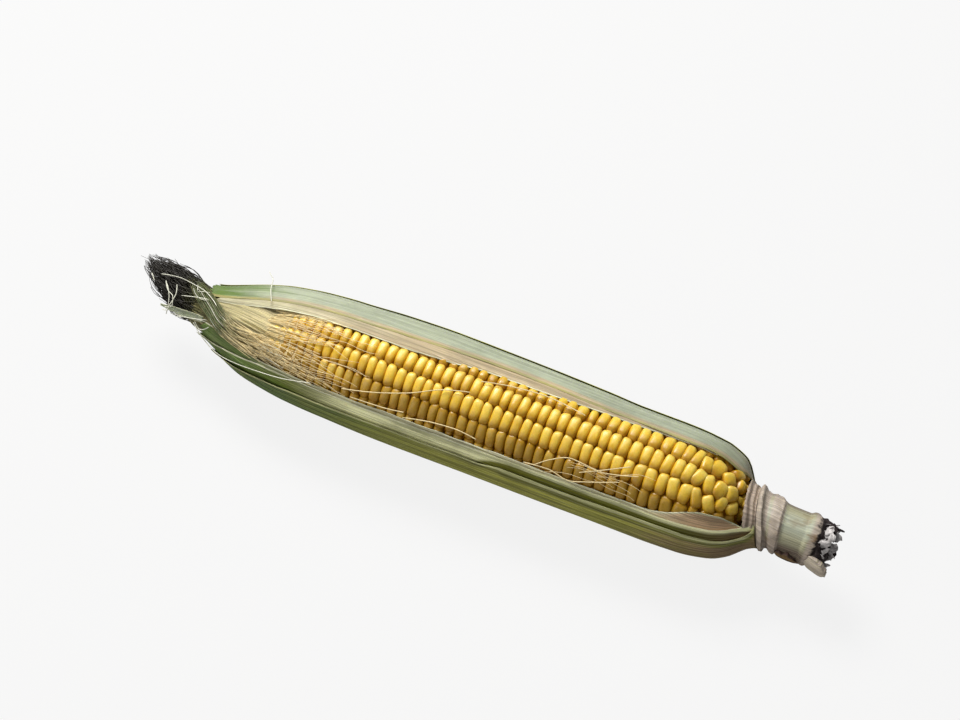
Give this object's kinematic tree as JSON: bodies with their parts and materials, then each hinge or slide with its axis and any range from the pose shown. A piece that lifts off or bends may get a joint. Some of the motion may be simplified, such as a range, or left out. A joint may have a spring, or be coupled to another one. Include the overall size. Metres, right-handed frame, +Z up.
{
  "type": "corn cob",
  "caption": "Ear of sweetcorn lying in its husk, opened along one side to show the yellow kernels, with its shank and dried silk.",
  "frame": {"origin": "centre of the bottom of the part's box, on the surface that the husk lies on", "axes": "+X along the ear from its tip and silk towards the shank, +Z up, the husk's opening faces up and towards -Y"},
  "size_m": [0.2931, 0.0504, 0.0473],
  "materials": {
    "kernels": "plump golden-yellow kernels, satin and slightly see-through, creamy at the crowns",
    "inner_husk": "thin papery inner husk, pinkish beige with fine parallel veins",
    "pale_husk": "fresh inner husk, pale mint green with fine parallel veins",
    "green_husk": "fresh outer husk, leaf green with yellow-green veins, brownish at the butt",
    "yellow_green_husk": "fresh outer husk, pale yellow green with parallel veins and a light rim",
    "dry_sheath": "torn, drying leaf sheath, pinkish beige",
    "shank": "pale green fibrous stalk with beige scars, dark and torn at its cut end",
    "silk": "dried silk, near-black brown at its ends, olive and gold near the neck"
  },
  "bodies": {
    "root": {"ear": "kernels", "far_inner_leaf": "inner_husk", "near_inner_leaf": "inner_husk", "far_pale_leaf": "pale_husk", "near_fold_leaf": "yellow_green_husk", "base_sheath": "dry_sheath", "far_outer_leaf": "green_husk", "near_outer_leaf": "yellow_green_husk", "shank": "shank", "sheath_flap": "dry_sheath", "silk_tuft": "silk", "dried_leaf_tip": "dry_sheath"}
  },
  "joints": []
}
